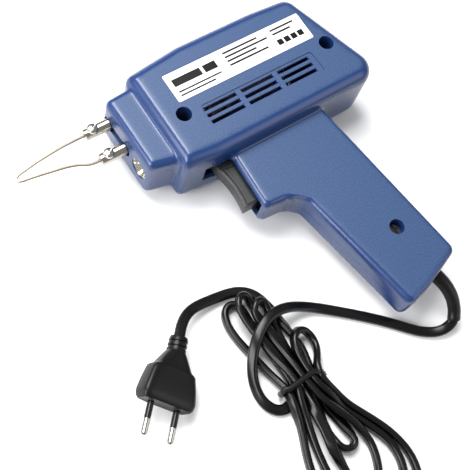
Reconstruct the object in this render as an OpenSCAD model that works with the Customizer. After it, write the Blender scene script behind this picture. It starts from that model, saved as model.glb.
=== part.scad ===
// Pistol-shaped transformer soldering gun, lying on its right side.
// Millimetres. Z is up, the barrel lies along X with the tip towards -X, and the grip runs towards -Y.
// Modules inside place() use the gun's own frame: the split plane of the two housing halves is z = 0,
// x = 0 lies just behind the front wall of the main body, and y = 0 between the two conductor tubes.

/* [Body] */
// Length of the main body at its lower rear corner
body_length = 140; // [136:1:144]
// Top of the main body above the axis
body_top = 26; // [25:0.5:27]
// Underside of the main body below the axis
body_depth = 50; // [49:0.5:51]
// Half of the main body's thickness
body_half = 24; // [23:0.5:25]
// Rounding of the main body's long edges
body_round = 9; // [7:0.5:10]
// Thickness of the housing's walls
wall = 2.6; // [2.2:0.1:3]

/* [Nose] */
// How far the nose stands out in front of the main body
nose_length = 17.3; // [16:0.1:18.5]
// Half of the nose's thickness
nose_half = 18; // [17.5:0.5:19]
// Rounding of the nose's long edges
nose_round = 5; // [4:0.5:6]

/* [Grip] */
// Half of the grip's thickness
grip_half = 12; // [12:0.5:14]
// Rounding of the grip's edges
grip_round = 4; // [3:0.5:5]

/* [Vents] */
// Length of one vent slot
slot_length = 23.6; // [20:0.2:25]
// Width of one vent slot
slot_width = 2.2; // [1.6:0.1:2.6]
// Distance from one row of slots to the next
slot_pitch = 4.65; // [4:0.05:5]

/* [Conductors and tip] */
// Outer diameter of a conductor tube
tube_dia = 7.5; // [7:0.1:8]
// How far the tubes stand out of the nose
tube_reach = 16.7; // [15:0.1:18]
// Height of the upper tube's axis
tube_upper_y = 7.5; // [7:0.5:8]
// Height of the lower tube's axis
tube_lower_y = -11; // [-11.5:0.5:-10.5]
// Diameter of the tip's wire
wire_dia = 1.8; // [1.4:0.1:2]

/* [Trigger] */
// Width of the trigger
trigger_width = 9; // [8:0.5:10]
// Diameter of the trigger's pivot pin
pin_dia = 4; // [3:0.5:4.5]

/* [Mains lead] */
// Width of the flat two-core lead
cord_width = 6.6; // [6:0.1:7]
// Thickness of the flat two-core lead
cord_thick = 4.2; // [3.8:0.1:4.6]

/* [Plug] */
// Width of the plug at its pin face
plug_width = 35.3; // [35:0.1:35.6]
// Thickness of the plug
plug_thick = 13.7; // [13.4:0.1:14]
// Turn of the plug about its own axis as it lies on one edge
plug_tilt = -30; // [-32:1:-28]

/* [Hidden] */

$fn = 48;
hull_fn = 32;
slab = 0.01;
cut = 0.5;

body_front = -4;
nose_front = body_front - nose_length;
tip_reach = 87;
toe_y = -181;
centre_x = (body_length - tip_reach) / 2;
centre_y = (body_top + toe_y) / 2;

tube_r = tube_dia / 2;
tube_front = nose_front - tube_reach;
tube_rear = 96;
bore_r = wire_dia / 2 + 0.1;
bore_depth = 16;
clamp_x = tube_front + 5.5;
clamp_thread_r = 1.75;

core_y = (tube_upper_y + tube_lower_y) / 2;
core_front = 44;
core_rear = 84;
core_limb = 5;
core_window = 17.5;
core_outer = 21.5;
core_window_z = 13.5;
core_half = 19;
coil_low = 5.4;
coil_high = 13.1;

screw_r = 1.75;
counterbore_r = 4.85;
// Each housing screw: x, y, and the height at which its head sits
screw_front = [12.7, -18, 8];
screw_rear = [120, -17.5, 8];
screw_grip = [89.5, -138, 4.5];

pivot = [24, -40];
pin_half = 20;
switch_y = -66;
switch_front = 44.3;
switch_length = 22;
tab_length = 7;
tab_end = switch_front + switch_length + tab_length;
lamp_y = -26.5;
boot_exit = [98.5, -172.5];

// Route of the flat lead from the boot to the hank, in the row's frame
lead_route = [[71.5, -123.5, 9.5], [66, -125, 5.5], [59, -123, 2.8], [50, -116, 2.2], [40, -105, 2.2],
    [29, -94, 2.2], [17, -83, 2.2], [5, -73, 2.4], [-5, -67, 5], [-14, -63, 10], [-22, -62.5, 14],
    [-30, -63.5, 15.2], [-38, -67.5, 15], [-46, -74, 12.5], [-52, -82, 7], [-55.5, -90, 3],
    [-57, -98, 2.2], [-56, -106, 2.2], [-53, -110.5, 2.2], [-49.3, -112, 2.2]];
// Route of the lead from the hank to the plug
plug_route = [[-22.3, -64, 4], [-21.5, -57, 3], [-22.5, -50, 2.4], [-25.5, -44, 2.2], [-31, -39.5, 2.2],
    [-38, -37, 2.2], [-46, -36, 2.5], [-54, -35.2, 4], [-62, -35, 6.5], [-69, -37, 9.5],
    [-75, -41, 12.5], [-79, -45, 14.4], [-80.7, -46.7, 15]];
plug_at = [-109, -75, 15];
plug_turn = 225;
neck_length = 40;
pin_spread = 9;

// ---- helpers ----

// Points on an arc about [x, y]
function arc(x, y, r, from, to, n = 6) =
    [for (i = [0:n]) let (a = from + (to - from) * i / n) [x + r * cos(a), y + r * sin(a)]];

function unit(v) = v / norm(v);
function heading(p, i) = unit(p[min(i + 1, len(p) - 1)] - p[max(i - 1, 0)]);
function across(t) = unit(cross(t, [0, 0, 1]));

// One tube through the points of a route; w and h are lists of its half width and half height
module sweep(p, w, h, sides = 10) {
    rings = [for (i = [0:len(p) - 1])
        let (t = heading(p, i), s = across(t), u = cross(s, t))
        for (j = [0:sides - 1]) p[i] + s * w[i] * cos(360 * j / sides) + u * h[i] * sin(360 * j / sides)];
    skin = [for (i = [0:len(p) - 2], j = [0:sides - 1])
        let (a = i * sides + j, b = i * sides + (j + 1) % sides)
        each [[a, b, a + sides], [b, b + sides, a + sides]]];
    front = [[for (j = [0:sides - 1]) sides - 1 - j]];
    back = [[for (j = [0:sides - 1]) (len(p) - 1) * sides + j]];
    polyhedron(rings, concat(skin, front, back));
}

function same(value, p) = [for (q = p) value];

// From the gun's frame to the row's frame
module place() {
    translate([-centre_x, -centre_y, body_half]) children();
}

module along_x(x) {
    translate(x) rotate([0, 90, 0]) children();
}

// ---- housing outlines, in the split plane ----

// Side view of the main body; reach moves its front wall forwards
module body_outline(reach = 0) {
    corner_r = 4;
    rear_r = 12;
    front = body_front - reach;
    polygon(concat(
        arc(front + corner_r, -body_depth + 2.2 + corner_r, corner_r, 180, 265),
        [[20, -body_depth]],
        arc(body_length - rear_r, -body_depth + rear_r, rear_r, 270, 376, 10),
        arc(112.5, body_top - 11, 9.5, 16, 90),
        [[95, body_top], [35, body_top]],
        arc(front + 5, body_top - 9, 5, 95, 180)));
}

// Side view of the nose; its rear is inside the body
module nose_outline(rear) {
    corner_r = 4;
    polygon(concat(
        arc(nose_front + corner_r, -33, corner_r, 180, 260),
        [[rear, -37 - rear * 0.23 - 4.2], [rear, 16.5]],
        arc(nose_front + corner_r, 11, corner_r, 95, 180)));
}

module grip_shaft_outline() {
    polygon(concat(
        [[60, -44], [48.5, -78]],
        arc(71.2, toe_y + 5, 5, 190, 280, 4),
        [[99, -175]],
        arc(108.6, -164.5, 5, 285, 367),
        [[97.4, -44]]));
}

module grip_head_outline() {
    polygon(concat(
        [[28, -42], [27.2, -80]],
        arc(31.5, -84.5, 4.5, 180, 270),
        [[50, -92], [95, -92], [95, -42]]));
}

// A half shape with a rounded outer edge: a stack of outlines, each inset as the arc asks
module rounded_half(half, edge, steps = 4) {
    hull() {
        linear_extrude(slab) children();
        for (k = [0:steps]) let (a = 90 * k / steps)
            translate([0, 0, half - edge + edge * sin(a) - slab])
                linear_extrude(slab) offset(delta = -edge * (1 - cos(a))) children();
    }
}

module body_half_solid() {
    front_share = 0.2;
    hull() {
        linear_extrude(slab) body_outline();
        for (k = [0:4]) let (a = 90 * k / 4, inset = body_round * (1 - cos(a)))
            translate([0, 0, body_half - body_round + body_round * sin(a) - slab])
                linear_extrude(slab) offset(delta = -inset) body_outline(inset * front_share);
    }
}

// Outside of one housing half, its outer face towards +z
module half_outside() {
    body_half_solid();
    rounded_half(nose_half, nose_round, 3) nose_outline(2);
    rounded_half(grip_half, grip_round, 3) grip_shaft_outline();
    rounded_half(grip_half, grip_round, 3) grip_head_outline();
    finger_fillet();
}

// Fills the inner corner between the finger rest and the front strap
module finger_fillet() {
    r = 9;
    linear_extrude(grip_half - grip_round - 1) polygon(concat(
        arc(43, -101, r, 0, 90, 8),
        [[43, -90.4], [53.6, -90.4], [53.6, -101]]));
}

// Hollow of one housing half: two layers, the outer one narrower to follow the rounded edge
module half_hollow() {
    translate([0, 0, -cut]) {
        linear_extrude(cut + body_half - 7) offset(delta = -wall) body_outline();
        linear_extrude(cut + body_half - wall) offset(delta = -wall - 3.4) body_outline();
        linear_extrude(cut + nose_half - 5) offset(delta = -wall) nose_outline(12);
        linear_extrude(cut + nose_half - wall) offset(delta = -wall - 2) nose_outline(12);
        linear_extrude(cut + grip_half - 4) offset(delta = -wall) {
            grip_shaft_outline();
            grip_head_outline();
        }
        linear_extrude(cut + grip_half - wall) offset(delta = -wall - 2) {
            grip_shaft_outline();
            grip_head_outline();
        }
    }
}

// Three groups of three slots in a shallow panel
module vents() {
    first_x = 25;
    first_y = -20.9;
    group_pitch = 27.4;
    panel_depth = 0.6;
    for (g = [0:2], row = [0:2])
        translate([first_x + g * group_pitch, first_y - row * slot_pitch - slot_width / 2, body_half - 8])
            cube([slot_length, slot_width, 9]);
    translate([0, 0, body_half - panel_depth]) linear_extrude(1)
        polygon(concat(
            arc(first_x + 1, -31.5, 2.5, 180, 270),
            arc(105, -31.5, 2.5, 270, 360),
            arc(105, -20, 2, 0, 90),
            arc(first_x + 1, -20, 2, 90, 180)));
}

// Openings in the nose for the two conductor tubes and the work lamp
module nose_openings() {
    front = nose_front - cut;
    along_x([front, tube_upper_y, 0]) cylinder(r = tube_r + 1.4, h = 6);
    along_x([front, tube_lower_y, 0]) cylinder(r = tube_r + 1.4, h = 6);
    along_x([front, lamp_y, 0]) cylinder(r = 6.8, h = 6);
}

module trigger_opening() {
    side = trigger_width / 2 + 3;
    translate([11, -84.7, -side]) cube([26, 39.5, 2 * side]);
}

module boot_opening() {
    translate([boot_exit[0] - 2.4, boot_exit[1] + 9, 0]) rotate([90, 0, 14]) cylinder(r = 5.6, h = 16);
}

// A seat for one transformer or switch edge: two ribs from the side wall
module cradle_ribs() {
    for (x = [core_front - 2.4, core_rear + 0.4])
        translate([x, core_y - 20, 14.5]) cube([2, 40, body_half - wall - 14]);
}

// ---- housing ----

module left_boss(s, top) {
    translate([s[0], s[1], 0]) cylinder(r = 3.1, h = s[2]);
    translate([s[0], s[1], s[2] - 2.4]) cylinder(r = counterbore_r + 1.8, h = top - s[2] + 2.4);
}

module left_boss_bore(s) {
    translate([s[0], s[1], -cut]) cylinder(r = screw_r + 0.15, h = 60);
    translate([s[0], s[1], s[2]]) cylinder(r = counterbore_r, h = 30);
}

module right_boss(s, top) {
    translate([s[0], s[1], 0]) cylinder(r = 3.1, h = top);
}

module pivot_boss(from) {
    translate([pivot[0], pivot[1], from]) cylinder(r = 4.6, h = body_half - 2 - from);
}

module pivot_bore() {
    translate([pivot[0], pivot[1], -cut]) cylinder(r = pin_dia / 2 + 0.03, h = pin_half + cut);
}

module housing_left() {
    color("steelblue") place() difference() {
        union() {
            difference() {
                half_outside();
                half_hollow();
            }
            left_boss(screw_front, body_half - 1);
            left_boss(screw_rear, body_half - 1);
            left_boss(screw_grip, grip_half - 1);
            pivot_boss(trigger_width / 2 + 5.2);
            cradle_ribs();
        }
        left_boss_bore(screw_front);
        left_boss_bore(screw_rear);
        left_boss_bore(screw_grip);
        pivot_bore();
        vents();
        nose_openings();
        trigger_opening();
        boot_opening();
        translate([14.3, -10.6, body_half - 0.25]) cube([101.4, 20.2, 1]);
    }
}

module housing_right() {
    color("royalblue") place() mirror([0, 0, 1]) difference() {
        union() {
            difference() {
                half_outside();
                half_hollow();
            }
            right_boss(screw_front, body_half - 1);
            right_boss(screw_rear, body_half - 1);
            right_boss(screw_grip, grip_half - 1);
            pivot_boss(trigger_width / 2 + 0.3);
            cradle_ribs();
        }
        for (s = [screw_front, screw_rear, screw_grip])
            translate([s[0], s[1], -cut]) cylinder(r = screw_r + 0.03, h = cut + (s == screw_grip ? 10 : 15));
        pivot_bore();
        vents();
        nose_openings();
        trigger_opening();
        boot_opening();
    }
}

// Blank rating plate in its shallow recess
module rating_label() {
    color("white") place() translate([14.5, -10.4, body_half - 0.25]) cube([101, 19.8, 0.2]);
}

// Cheese-head screw, its head's underside at z = 0, its shank downwards
module screw(head_r, head_h, shank_r, shank, slot_w) {
    difference() {
        union() {
            cylinder(r = head_r, h = head_h);
            translate([0, 0, -shank]) cylinder(r = shank_r, h = shank + slab);
        }
        translate([-head_r - 1, -slot_w / 2, head_h - head_h * 0.4]) cube([2 * head_r + 2, slot_w, head_h]);
    }
}

module housing_screw(s, shank) {
    color("dimgray") place() translate(s) difference() {
        screw(3.4, 2.5, screw_r, shank, 1);
        translate([-0.5, -4.4, 1.5]) cube([1, 8.8, 2]);
    }
}

module housing_screw_front() { housing_screw(screw_front, 21); }

module housing_screw_rear() { housing_screw(screw_rear, 21); }

module housing_screw_grip() { housing_screw(screw_grip, 13); }

// ---- trigger and switch ----

// Side view of the trigger: hub, concave finger face, and the pusher in front of the plunger
module trigger_outline() {
    bow_r = 61;
    bow_y = -66.6;
    foot_y = -80.6;
    push_height = 4;
    polygon(concat(
        arc(pivot[0], pivot[1], 5.6, 150, 0, 8),
        [[32.6, -54], [32.6, switch_y + push_height], [36, switch_y + push_height],
         [36, switch_y - push_height], [31.4, switch_y - push_height], [28.6, foot_y], [19.4, foot_y]],
        arc(-40.6, bow_y, bow_r, -13, 13, 8),
        [[18.4, -47]]));
}

module trigger() {
    color("darkslategray") place() difference() {
        translate([0, 0, -trigger_width / 2]) linear_extrude(trigger_width) trigger_outline();
        translate([pivot[0], pivot[1], -trigger_width / 2 - 1])
            cylinder(r = pin_dia / 2 + 0.05, h = trigger_width + 2);
        for (side = [-1, 1]) translate([0, 0, side * trigger_width / 2]) trigger_panel();
    }
}

// Shallow panel pressed into each flank of the trigger
module trigger_panel() {
    depth = 0.6;
    translate([0, 0, -depth]) linear_extrude(2 * depth)
        polygon([[23.3, -56], [31.2, -56], [31.2, -65], [27.6, -78.4], [22.2, -78.4]]);
}

module trigger_pin() {
    color("silver") place() translate([pivot[0], pivot[1], -pin_half + 0.2])
        cylinder(r = pin_dia / 2, h = 2 * pin_half - 0.4);
}

// Torsion spring beside the trigger's hub: one leg along the trigger, one on the housing
module trigger_spring() {
    coil_r = 3.1;
    wire_r = 0.5;
    turns = 2.75;
    rings = 44;
    pitch = 1.15;
    low = trigger_width / 2 + 0.4 + wire_r;
    coil = [for (i = [0:rings]) let (a = 360 * turns * i / rings)
        [pivot[0] + coil_r * cos(a), pivot[1] + coil_r * sin(a), low + pitch * turns * i / rings]];
    path = concat([[pivot[0] + coil_r, pivot[1] - 9, low]], coil,
        [[pivot[0] + 10, pivot[1] - coil_r, low + pitch * turns]]);
    color("gainsboro") place() sweep(path, same(wire_r, path), same(wire_r, path), 8);
}

module switch_body() {
    color("black") place() difference() {
        translate([switch_front, switch_y - 10, -7.5]) cube([switch_length, 20, 15]);
        along_x([switch_front - 1, switch_y, 0]) cylinder(r = 3.05, h = 9);
    }
}

module switch_plunger() {
    color("whitesmoke") place() along_x([36.5, switch_y, 0]) cylinder(r = 3, h = 12);
}

module switch_tabs() {
    color("goldenrod") place() for (y = [switch_y - 5, switch_y + 5])
        translate([tab_end - tab_length, y - 2.4, -0.4]) cube([tab_length, 4.8, 0.8]);
}

// ---- transformer ----

module core_laminations() {
    depth = core_rear - core_front;
    color("slategray") place() difference() {
        translate([core_front, core_y - core_outer, -core_half]) cube([depth, 2 * core_outer, 2 * core_half]);
        for (y = [-core_window, core_limb])
            translate([core_front - 1, core_y + y, -core_window_z])
                cube([depth + 2, core_window - core_limb, 2 * core_window_z]);
    }
}

// Thin plate and sleeve that carry one half of the primary winding
module bobbin(side) {
    color("beige") place() translate([0, core_y, 0]) scale([1, 1, side]) difference() {
        union() {
            translate([core_front - 8, -16.8, 4.2]) cube([core_rear - core_front + 16, 33.6, 1]);
            translate([core_front - 1, -core_limb - 1, 5]) cube([core_rear - core_front + 2, 2 * core_limb + 2, 8.3]);
        }
        translate([core_front - 0.05, -core_limb - 0.05, 4]) cube([core_rear - core_front + 0.1, 2 * core_limb + 0.1, 12]);
    }
}

module bobbin_left() { bobbin(1); }

module bobbin_right() { bobbin(-1); }

module winding_outline(grow) {
    polygon(concat(
        arc(core_front - grow + 4, -core_limb - grow + 4, 4, 180, 270),
        arc(core_rear + grow - 4, -core_limb - grow + 4, 4, 270, 360),
        arc(core_rear + grow - 4, core_limb + grow - 4, 4, 0, 90),
        arc(core_front - grow + 4, core_limb + grow - 4, 4, 90, 180)));
}

module primary_coil(side) {
    color("orangered") place() translate([0, core_y, 0]) scale([1, 1, side]) difference() {
        translate([0, 0, coil_low]) linear_extrude(coil_high - coil_low) winding_outline(7.2);
        translate([core_front - 1.1, -core_limb - 1.1, 0])
            cube([core_rear - core_front + 2.2, 2 * core_limb + 2.2, 20]);
    }
}

module primary_coil_left() { primary_coil(1); }

module primary_coil_right() { primary_coil(-1); }

// Tinned copper tube: the half turn of the secondary that leaves the nose
module conductor(y) {
    color("silver") place() difference() {
        along_x([tube_front, y, 0]) cylinder(r = tube_r, h = tube_rear - tube_front);
        along_x([tube_front - 1, y, 0]) cylinder(r = bore_r, h = bore_depth + 1);
        translate([clamp_x, y, wire_dia / 2]) cylinder(r = clamp_thread_r + 0.03, h = tube_dia);
        translate([clamp_x, y, tube_r - 0.6]) cylinder(r = 3.4, h = 2);
    }
}

module conductor_upper() { conductor(tube_upper_y); }

module conductor_lower() { conductor(tube_lower_y); }

// Copper bar that closes the turn behind the core
module conductor_bridge() {
    color("peru") place() translate([tube_rear, tube_lower_y - 5, -4])
        cube([4.5, tube_upper_y - tube_lower_y + 10, 8]);
}

module nose_insulator() {
    color("black") place() difference() {
        translate([nose_front + wall + 1.5, -17.5, -12.5]) cube([4, 29.7, 25]);
        for (y = [tube_upper_y, tube_lower_y])
            along_x([nose_front, y, 0]) cylinder(r = tube_r + 0.02, h = 20);
    }
}

module clamp_screw(y) {
    color("silver") place() translate([clamp_x, y, tube_r - 0.55])
        screw(3.2, 2.6, clamp_thread_r, tube_r - 0.55 - wire_dia / 2 - 0.06, 0.9);
}

module clamp_screw_upper() { clamp_screw(tube_upper_y); }

module clamp_screw_lower() { clamp_screw(tube_lower_y); }

// Hairpin of tinned wire: two legs in the tubes, drawn together to a narrow bend
module solder_tip() {
    leg = tube_front + bore_depth - 1.6;
    path = [[leg, tube_upper_y, 0], [tube_front, tube_upper_y, 0], [-52, 7.3, 0], [-67, 6, 0], [-78, 4.3, 0],
        [-83.5, 3.3, 0], [-85.6, 2.2, 0], [-86.1, 0.9, 0], [-85.6, -0.3, 0], [-83.5, -1.1, 0], [-76, -2.1, 0],
        [-65.6, -3.9, 0], [-57, -5.5, 0], [-51, -7.4, 0], [-46, -9.9, 0], [-42, -10.9, 0],
        [tube_front, tube_lower_y, 0], [leg, tube_lower_y, 0]];
    color("lightgray") place() sweep(path, same(wire_dia / 2, path), same(wire_dia / 2, path), 12);
}

// ---- work lamp ----

module lamp_reflector() {
    color("silver") place() along_x([nose_front + 0.6, lamp_y, 0]) difference() {
        cylinder(r1 = 6.7, r2 = 4, h = 8);
        translate([0, 0, -0.01]) cylinder(r1 = 6.1, r2 = 3.3, h = 8.02);
    }
}

module lamp_glass() {
    color("white", 0.4) place() along_x([-15.2, lamp_y, 0]) rotate_extrude()
        polygon([[0, 0], [1.6, 0.5], [2.6, 1.8], [2.9, 3.4], [2.6, 5.4], [2.2, 7.2], [0, 7.2]]);
}

module lamp_base() {
    color("goldenrod") place() along_x([-8, lamp_y, 0]) {
        cylinder(r = 3, h = 8);
        translate([0, 0, 8]) cylinder(r = 1.5, h = 1.2);
    }
}

module lamp_holder() {
    color("black") place() difference() {
        translate([-7, lamp_y - 5.5, -5.5]) cube([10, 11, 11]);
        along_x([-8, lamp_y, 0]) cylinder(r = 3.05, h = 9.3);
    }
}

module lamp_lead(z, top) {
    path = [[3.6, lamp_y + 2, z], [12, lamp_y - 4, z * 1.6], [24, lamp_y, z * 2], [33, lamp_y + 4, z * 2],
        [core_front - 8, top, z * 2]];
    color("firebrick") place() sweep(path, same(0.8, path), same(0.8, path), 8);
}

module lamp_lead_upper() { lamp_lead(3.4, -18); }

module lamp_lead_lower() { lamp_lead(-3.4, -18); }

// ---- wiring in the grip ----

module inner_wire(path, shade) {
    color(shade) place() sweep(path, same(1.1, path), same(1.1, path), 8);
}

module mains_wire_brown() {
    inner_wire([[94.6, -149.5, 1.5], [98.6, -138, 2], [96, -124, 3.5], [86, -108, 3.5], [80, -92, 3],
        [79, -78, 1.5], [tab_end + 4, switch_y - 5, 0.3], [tab_end + 0.3, switch_y - 5, 0]], "saddlebrown");
}

module mains_wire_blue() {
    inner_wire([[94.6, -149.5, -1.5], [96, -128, -4], [92, -105, -5], [88, -80, -5], [86, -55, -5],
        [88, -38, -6], [core_rear + 7.2, -22, -9]], "royalblue");
}

module coil_wire() {
    inner_wire([[tab_end + 0.3, switch_y + 5, 0], [tab_end + 3.6, switch_y + 5, 0.5], [81, -53, 3], [83, -42, 6],
        [core_rear + 7.2, -22, 9]], "saddlebrown");
}

// Bar that grips the lead above the boot
module cord_clamp() {
    color("black") place() translate([94.3, -153.5, 0]) rotate([0, 0, -9]) difference() {
        translate([-10, -3.5, -7]) cube([20, 7, 5.2]);
        rotate([90, 0, 0]) cylinder(r = cord_thick / 2 + 0.05, h = 20, center = true);
        for (x = [-7.4, 7.4]) translate([x, 0, -10]) cylinder(r = 1.5, h = 20);
    }
}

module clamp_bar_screw(x) {
    color("silver") place() translate([94.3, -153.5, 0]) rotate([0, 0, -9]) translate([x, 0, -1.75])
        screw(2.4, 1.8, 1.45, 6.5, 0.8);
}

module clamp_bar_screw_front() { clamp_bar_screw(-7.4); }

module clamp_bar_screw_rear() { clamp_bar_screw(7.4); }

// ---- mains lead ----

// Tapered sleeve that bends down to the surface; it starts inside the grip with a collar
module cord_boot() {
    path = [[67.8, -81.8, 24], [69.4, -88, 24], [71.6, -96, 23.8], [73.8, -104, 22], [75, -111.5, 18],
        [74.4, -118, 13.2], [71.5, -123.5, 9.5]];
    thick = [4.6, 4.6, 4.6, 4.4, 4.2, 4, 3.9];
    color("black") {
        sweep(path, thick, thick, 12);
        translate([boot_exit[0] - 2.4 - centre_x, boot_exit[1] + 8 - centre_y, body_half]) rotate([90, 0, 14])
            cylinder(r = 7.6, h = 2.6);
    }
}

module flat_tube(route) {
    color("black") sweep(route, same(cord_width / 2, route), same(cord_thick / 2, route), 10);
}

module cord_lead() { flat_tube(lead_route); }

module cord_plug_lead() { flat_tube(plug_route); }

// The folded length: runs side by side, drawn in at the tie, open at the lower end
module cord_hank() {
    hank_height = 12.4;
    color("black") linear_extrude(hank_height) polygon(concat(
        arc(-37, -58, 12.5, 0, 180, 10),
        [[-47, -98], [-46.5, -104], [-47.5, -110], [-57, -150]],
        arc(-29.5, -172, 29.5, 190, 350, 12),
        [[-1, -150], [-21, -108], [-22.5, -104], [-12, -94], [-11, -84], [-22, -72]]));
}

// Twist tie over the waist of the hank
module cord_tie() {
    color("black") translate([-34.5, -104, 0]) difference() {
        translate([-14, -1.8, 0]) cube([28, 3.6, 14.2]);
        translate([-12.6, -3, -1]) cube([25.2, 6, 13.6]);
    }
}

module at_plug() {
    translate(plug_at) rotate([0, 0, plug_turn]) rotate([plug_tilt, 0, 0]) children();
}

// Flat moulded plug: its pin face at x = 0, its neck towards -x
module plug_body() {
    color("black") at_plug() difference() {
        union() {
            hull() {
                translate([-0.5, 0, 0]) cube([1, plug_width - 3, plug_thick - 2], center = true);
                translate([-5, 0, 0]) cube([2, plug_width, plug_thick], center = true);
                translate([-20, 0, 0]) cube([2, 29, 12.5], center = true);
            }
            hull() {
                translate([-20, 0, 0]) cube([2, 23, 12], center = true);
                along_x([-31, 0, 0]) cylinder(r = 5.8, h = 1, $fn = hull_fn);
            }
            along_x([-neck_length, 0, 0]) cylinder(r1 = 5, r2 = 5.7, h = neck_length - 30);
        }
        for (y = [-pin_spread, pin_spread]) along_x([-8, y, 0]) cylinder(r = 1.32, h = 10);
    }
}

module plug_pin(y) {
    color("silver") at_plug() {
        along_x([-7.8, y, 0]) cylinder(r = 1.3, h = 18);
        along_x([10, y, 0]) cylinder(r = 2, h = 8);
        along_x([18, y, 0]) cylinder(r1 = 2, r2 = 1.2, h = 1);
    }
}

module plug_pin_left() { plug_pin(-pin_spread); }

module plug_pin_right() { plug_pin(pin_spread); }

module pin_sleeve(y) {
    color("black") at_plug() along_x([0, y, 0]) difference() {
        cylinder(r = 1.9, h = 10);
        translate([0, 0, -1]) cylinder(r = 1.32, h = 12);
    }
}

module pin_sleeve_left() { pin_sleeve(-pin_spread); }

module pin_sleeve_right() { pin_sleeve(pin_spread); }

housing_left();
housing_right();
rating_label();
housing_screw_front();
housing_screw_rear();
housing_screw_grip();
trigger();
trigger_pin();
trigger_spring();
switch_body();
switch_plunger();
switch_tabs();
core_laminations();
bobbin_left();
bobbin_right();
primary_coil_left();
primary_coil_right();
conductor_upper();
conductor_lower();
conductor_bridge();
nose_insulator();
clamp_screw_upper();
clamp_screw_lower();
solder_tip();
lamp_reflector();
lamp_glass();
lamp_base();
lamp_holder();
lamp_lead_upper();
lamp_lead_lower();
mains_wire_brown();
mains_wire_blue();
coil_wire();
cord_clamp();
clamp_bar_screw_front();
clamp_bar_screw_rear();
cord_boot();
cord_lead();
cord_hank();
cord_tie();
cord_plug_lead();
plug_body();
plug_pin_left();
plug_pin_right();
pin_sleeve_left();
pin_sleeve_right();
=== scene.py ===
# %% [markdown]
# # A pistol soldering gun, lying on its side
# The real thing is two blue moulded halves around a transformer, two plated tubes that carry the current
# to a bent wire tip, a grey trigger, and a flat mains lead folded into a hank.
# The measured frame holds every part already, so it is loaded first and every new piece takes its place
# from it.

# %% Load the frame
from math import cos, pi, radians, sin

import bmesh
import bpy
import numpy as np
from mathutils import Matrix, Vector


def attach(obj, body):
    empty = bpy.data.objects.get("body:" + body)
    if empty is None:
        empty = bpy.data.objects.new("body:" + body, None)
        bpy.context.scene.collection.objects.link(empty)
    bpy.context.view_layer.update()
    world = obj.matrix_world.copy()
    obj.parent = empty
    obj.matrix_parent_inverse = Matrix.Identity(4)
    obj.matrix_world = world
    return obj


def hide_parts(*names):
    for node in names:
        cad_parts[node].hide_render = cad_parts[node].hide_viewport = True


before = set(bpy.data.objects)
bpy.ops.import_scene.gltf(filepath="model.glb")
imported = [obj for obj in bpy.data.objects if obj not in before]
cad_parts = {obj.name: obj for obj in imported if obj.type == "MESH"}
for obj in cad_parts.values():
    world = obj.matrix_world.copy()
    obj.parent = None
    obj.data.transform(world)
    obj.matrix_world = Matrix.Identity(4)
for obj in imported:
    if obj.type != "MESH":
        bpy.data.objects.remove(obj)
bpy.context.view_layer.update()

MM = 0.001
scene = bpy.context.scene
print("nodes in the frame:", len(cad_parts))

# %% [markdown]
# ## Camera
# The view looks steeply down from the front left, so the side of the body fills the top of the frame and
# the folded lead runs off the bottom edge. A long lens keeps the body nearly free of perspective.
# The camera is set from three axes instead of angles, since its roll is part of the view.

# %% Camera
look = Vector((0.36294, 0.22350, -0.90461))
right = Vector((0.81128, -0.55334, 0.18878))
up = right.cross(look)
camera_data = bpy.data.cameras.new("view_camera")
camera_data.sensor_width = 36
camera_data.lens = 72.71
camera = bpy.data.objects.new("view_camera", camera_data)
turned_to_view = Matrix((right, up, -look)).transposed().to_4x4()
camera.matrix_world = Matrix.Translation((-0.2232, -0.1376, 0.528)) @ turned_to_view
scene.collection.objects.link(camera)
scene.camera = camera
print("camera lens:", camera_data.lens)

# %% [markdown]
# ## Small helpers
# Most parts of the gun are flat outlines pulled into thickness, so one helper turns an outline into a slab,
# one gives it a rounded rim, and one stores a finished bmesh as a piece with its body and material.
# The gun's drawing has its own origin at the front of the body, and `on_gun` moves a drawing there.

# %% Outlines and slabs
GUN_AT = Vector((-26.5, 77.5, 24.0))


def arc(x, y, r, start, end, steps=8):
    angles = [radians(start + (end - start) * i / steps) for i in range(steps + 1)]
    return [(x + r * cos(a), y + r * sin(a)) for a in angles]


def slab(bm, outline, low, high):
    ring = [bm.verts.new((x, y, low)) for x, y in outline]
    face = bm.faces.new(ring)
    grown = bmesh.ops.extrude_face_region(bm, geom=[face])["geom"]
    top = [v for v in grown if isinstance(v, bmesh.types.BMVert)]
    bmesh.ops.translate(bm, verts=top, vec=(0, 0, high - low))
    bmesh.ops.recalc_face_normals(bm, faces=bm.faces[:])
    return ring + top


def rim(bm, *levels):
    return [e for e in bm.edges if any(all(abs(v.co.z - z) < 1e-4 for v in e.verts) for z in levels)]


def on_gun(bm):
    bmesh.ops.translate(bm, verts=bm.verts[:], vec=GUN_AT)


def smooth_by_angle(mesh, sharp):
    mesh.polygons.foreach_set("use_smooth", [True] * len(mesh.polygons))
    mesh.set_sharp_from_angle(angle=radians(sharp))
    return mesh


def to_mesh(name, bm, sharp=35):
    """Millimetres in the bmesh become metres in the mesh."""
    bmesh.ops.scale(bm, verts=bm.verts[:], vec=(MM, MM, MM))
    mesh = bpy.data.meshes.new(name)
    bm.to_mesh(mesh)
    bm.free()
    return smooth_by_angle(mesh, sharp)


def piece(name, mesh, body, slot, material, *stands_for):
    obj = bpy.data.objects.new(name, mesh)
    scene.collection.objects.link(obj)
    mesh.materials.clear()
    mesh.materials.append(material)
    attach(obj, body)
    if stands_for:
        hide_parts(*stands_for)
    print(name, len(mesh.polygons), "faces")
    return obj


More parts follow.
